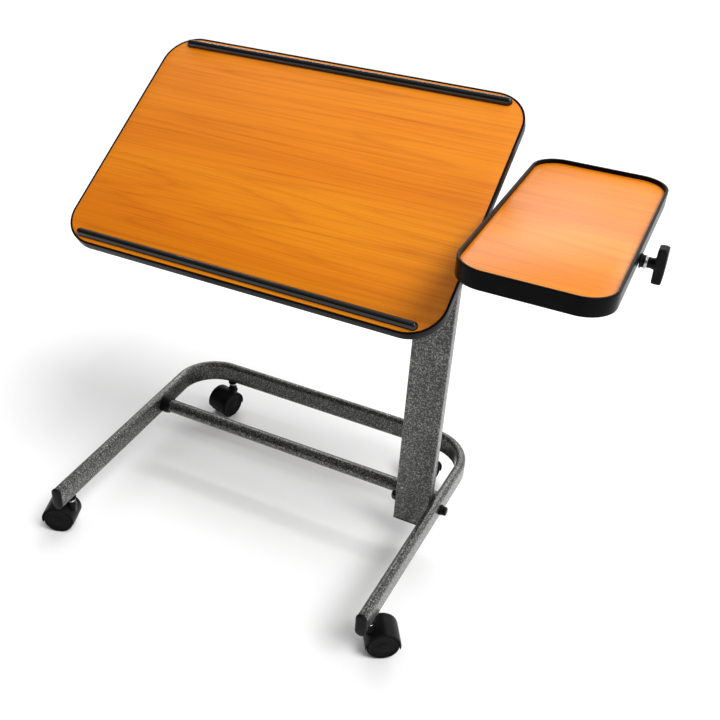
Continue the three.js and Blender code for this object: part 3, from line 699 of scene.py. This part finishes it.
def fasteners():
    pivot = joint_at("top_tilt")
    plane = Matrix.Translation(pivot) @ Matrix.Rotation(REST_TILT, 4, "X")
    down = Matrix.Rotation(math.pi, 4, "X")
    for i, x in enumerate((-400, -250, -100, 10)):
        for j, y in enumerate((-20, 20)):
            spot = plane @ Matrix.Translation((x * MM, y * MM, (TOP_UNDERSIDE - 2.8) * MM)) @ down
            screw_head(f"top_screw_{i}{j}", "main_top", spot)
    low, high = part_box("tray_bracket")
    underside = high.z - 2.5 * MM
    for i, x in enumerate((low.x + 0.020, high.x - 0.020)):
        for j, y in enumerate((low.y + 0.012, high.y - 0.012)):
            screw_head(f"tray_screw_{i}{j}", "lift", Matrix.Translation((x, y, underside)) @ down)


base_tube()
leg_caps()
crossbar()
mast()
height_clamp()
lift()
tray()
main_top()
tilt_clamp()
for place in PLACES:
    caster(place)
fasteners()


# ---- Floor, light and camera ---------------------------------------------------------------------
def studio_floor():
    bm = bmesh.new()
    bmesh.ops.create_grid(bm, x_segments=24, y_segments=24, size=14.0)
    data = bpy.data.meshes.new("floor")
    bm.to_mesh(data)
    bm.free()
    floor = bpy.data.objects.new("floor", data)
    bpy.context.scene.collection.objects.link(floor)
    r = Recipe("pale_floor")
    r.colour(r.ramp(r.noise(3.0, 2.0), [(0.3, grey(0.93)), (0.7, grey(0.95))]))
    r.rough(r.spread(r.noise(40.0), 0.55, 0.65))
    data.materials.append(r.material)


def softbox(name, spot, target, size, power):
    data = bpy.data.lights.new(name, "AREA")
    data.shape = "RECTANGLE"
    data.size, data.size_y = size
    data.energy = power
    lamp = bpy.data.objects.new(name, data)
    bpy.context.scene.collection.objects.link(lamp)
    lamp.location = spot
    lamp.rotation_euler = (Vector(target) - Vector(spot)).to_track_quat("-Z", "Y").to_euler()


def studio_light():
    world = bpy.data.worlds.new("studio")
    bpy.context.scene.world = world
    world.use_nodes = True
    tree = world.node_tree
    coord = tree.nodes.new("ShaderNodeTexCoord")
    facing = tree.nodes.new("ShaderNodeVectorMath")
    facing.operation = "DOT_PRODUCT"
    facing.inputs[1].default_value = Vector((0.62, 0.62, 0.48)).normalized()
    fade = tree.nodes.new("ShaderNodeMapRange")
    fade.inputs["From Min"].default_value = -0.35
    fade.inputs["From Max"].default_value = 0.85
    fade.inputs["To Min"].default_value = 0.10
    fade.inputs["To Max"].default_value = 1.05
    tree.links.new(coord.outputs["Generated"], facing.inputs[0])
    tree.links.new(facing.outputs["Value"], fade.inputs["Value"])
    tree.links.new(fade.outputs["Result"], tree.nodes["Background"].inputs["Strength"])
    tree.nodes["Background"].inputs["Color"].default_value = (1, 1, 1, 1)
    softbox("back", (-0.9, 1.9, 1.6), (0, 0, 0.3), (2.2, 0.9), 6)
    softbox("strip", (-0.2, 1.6, 1.6), (0, 0, 0.5), (2.4, 0.05), 9)
    data = bpy.data.lights.new("daylight", "SUN")
    data.energy = 2.0
    data.angle = math.radians(30)
    sun = bpy.data.objects.new("daylight", data)
    bpy.context.scene.collection.objects.link(sun)
    sun.rotation_euler = Vector((0.55, -0.15, 0.82)).to_track_quat("Z", "Y").to_euler()


def camera():
    """Front right and above, as the table is seen: 45.65 mm lens with a small shift."""
    azimuth, elevation, roll = (math.radians(a) for a in (24.7, 33.2, 2.8))
    level_reach = math.cos(elevation)
    back = Vector((math.sin(azimuth) * level_reach, -math.cos(azimuth) * level_reach, math.sin(elevation)))
    level = Vector((math.cos(azimuth), math.sin(azimuth), 0))
    above = back.cross(level)
    across = level * math.cos(roll) + above * math.sin(roll)
    upward = above * math.cos(roll) - level * math.sin(roll)
    data = bpy.data.cameras.new("camera")
    data.lens = 45.65
    data.sensor_width = 36
    data.shift_x = 0.0417
    data.shift_y = -0.0111
    eye = bpy.data.objects.new("camera", data)
    bpy.context.scene.collection.objects.link(eye)
    spot = Vector((BAR.x + 0.5770, BAR.y - 1.2628, 1.1103))
    eye.matrix_world = Matrix.Translation(spot) @ Matrix((across, upward, back)).transposed().to_4x4()
    bpy.context.scene.camera = eye
    bpy.context.scene.view_settings.view_transform = "Standard"


studio_floor()
studio_light()
camera()

bpy.context.view_layer.update()
